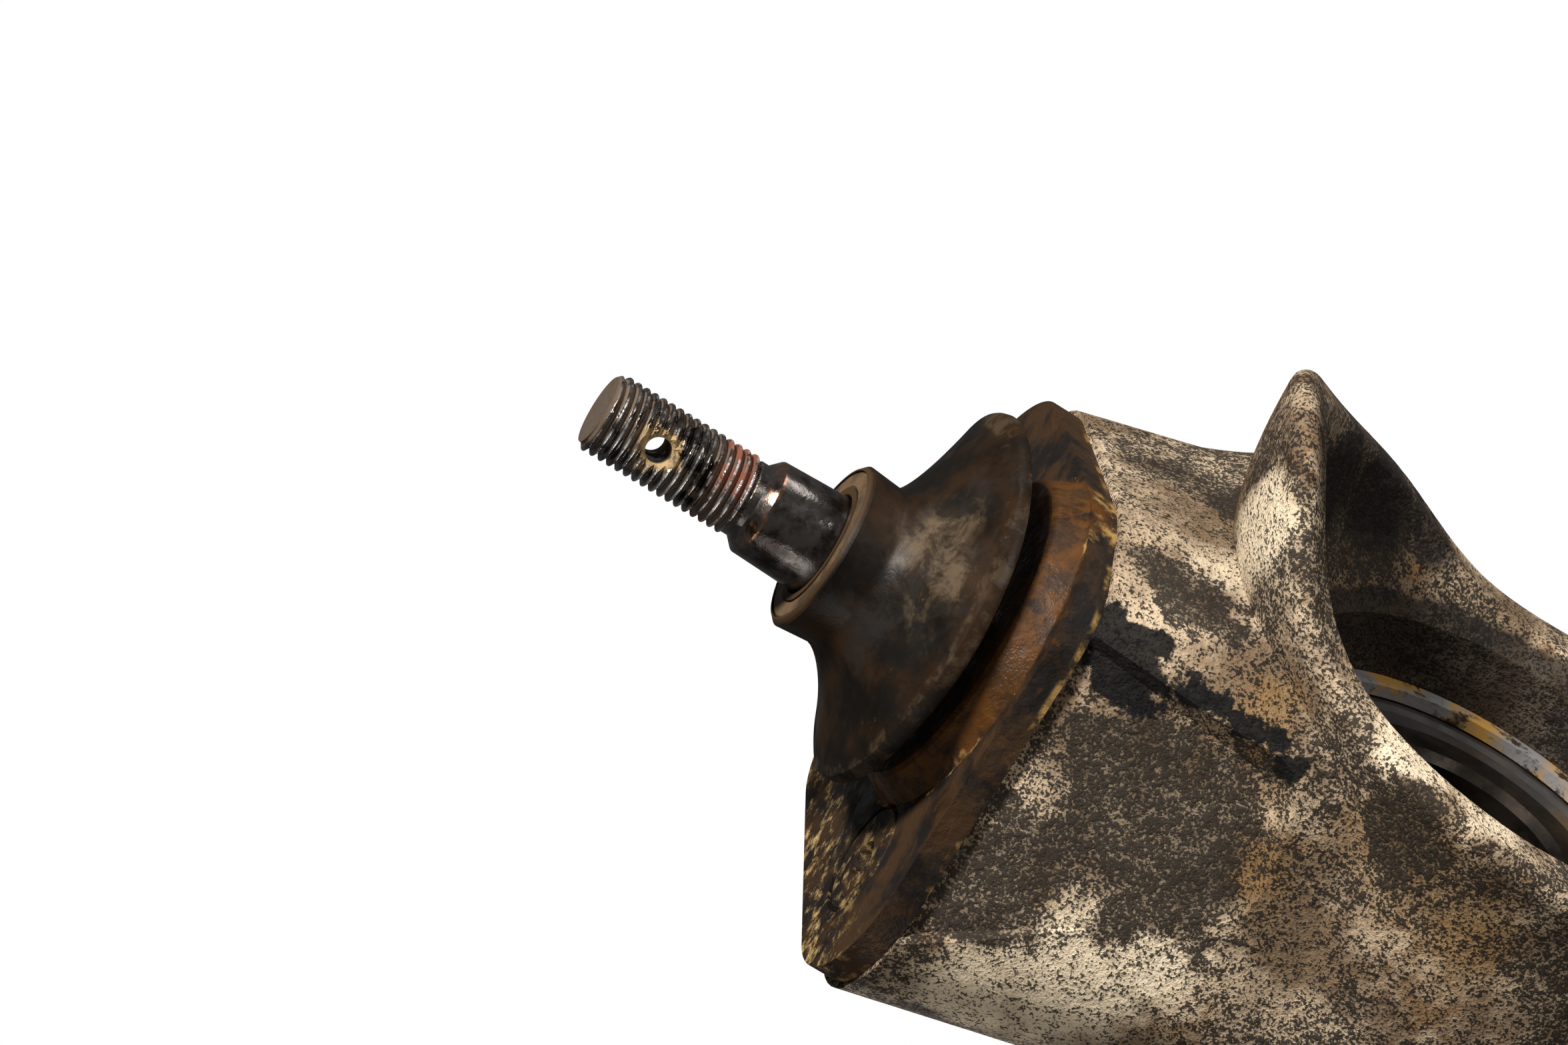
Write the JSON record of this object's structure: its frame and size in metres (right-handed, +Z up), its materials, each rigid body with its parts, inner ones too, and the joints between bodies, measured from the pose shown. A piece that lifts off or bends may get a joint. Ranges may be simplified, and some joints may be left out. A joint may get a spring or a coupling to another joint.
{
  "type": "steering knuckle",
  "caption": "Cast front steering knuckle with a sealed wheel bearing, lower ball joint and dust boot, and lugs for strut, steering rod and brake caliper.",
  "frame": {"origin": "centre of the wheel bearing, on the hub axis", "axes": "+Y along the hub axis towards the wheel, +Z up, +X towards the steering arm; the ball joint hangs below along -Z, leaning 7.2 degrees inboard"},
  "size_m": [0.2085, 0.0914, 0.2697],
  "materials": {
    "cast_iron": "rough cast, dusty",
    "rusty_plate": "pressed steel with surface rust",
    "rivet_steel": "dark, oiled",
    "cup_steel": "drawn steel",
    "spring_steel": "blued",
    "liner_metal": "sintered, greased",
    "stud_steel": "turned and rolled, lightly rusted",
    "lip_steel": "rusted",
    "boot_rubber": "dusty",
    "bearing_steel": "ground",
    "clip_steel": "oiled, dusty",
    "seal_rubber": "moulded",
    "cage_metal": "pressed"
  },
  "bodies": {
    "knuckle": {"knuckle_casting": "cast_iron", "joint_flange_plate": "rusty_plate", "flange_rivets": "rivet_steel", "joint_socket_cup": "cup_steel", "preload_disc_spring": "spring_steel", "socket_liner_upper": "liner_metal", "bearing_outer_ring": "bearing_steel", "bearing_circlip": "clip_steel", "bearing_seal_inboard": "seal_rubber", "bearing_seal_outboard": "seal_rubber"},
    "hub_race": {"bearing_inner_ring_inboard": "bearing_steel", "bearing_inner_ring_outboard": "bearing_steel", "bearing_ring_clip": "spring_steel"},
    "inboard_row": {"bearing_rollers_inboard": "bearing_steel", "roller_cage_inboard": "cage_metal"},
    "outboard_row": {"bearing_rollers_outboard": "bearing_steel", "roller_cage_outboard": "cage_metal"},
    "joint_liner": {"socket_liner_lower": "liner_metal"},
    "boot_lip": {"boot_lip_ring": "lip_steel", "dust_boot": "boot_rubber"},
    "stud": {"ball_stud": "stud_steel"}
  },
  "joints": [
    {"name": "hub_spin", "type": "hinge", "parent": "knuckle", "child": "hub_race", "pos_m": [0, 0, 0], "axis": [0, 1, 0], "continuous": true},
    {"name": "inboard_row_spin", "type": "hinge", "parent": "knuckle", "child": "inboard_row", "pos_m": [0, 0, 0], "axis": [0, 1, 0], "continuous": true},
    {"name": "outboard_row_spin", "type": "hinge", "parent": "knuckle", "child": "outboard_row", "pos_m": [0, 0, 0], "axis": [0, 1, 0], "continuous": true},
    {"name": "liner_swivel", "type": "hinge", "parent": "knuckle", "child": "joint_liner", "pos_m": [0, -0.01139, -0.05804], "axis": [0, -0.1253, -0.9921], "continuous": true},
    {"name": "stud_tilt", "type": "hinge", "parent": "joint_liner", "child": "boot_lip", "pos_m": [0, -0.01139, -0.05804], "axis": [1, 0, 0], "range_deg": [-20, 20], "deforming": ["dust_boot"]},
    {"name": "stud_spin", "type": "hinge", "parent": "boot_lip", "child": "stud", "pos_m": [0, -0.01139, -0.05804], "axis": [0, -0.1253, -0.9921], "continuous": true}
  ],
  "couplings": [
    {"joint": "inboard_row_spin", "follows": "hub_spin", "ratio": 0.43},
    {"joint": "outboard_row_spin", "follows": "hub_spin", "ratio": 0.43}
  ]
}
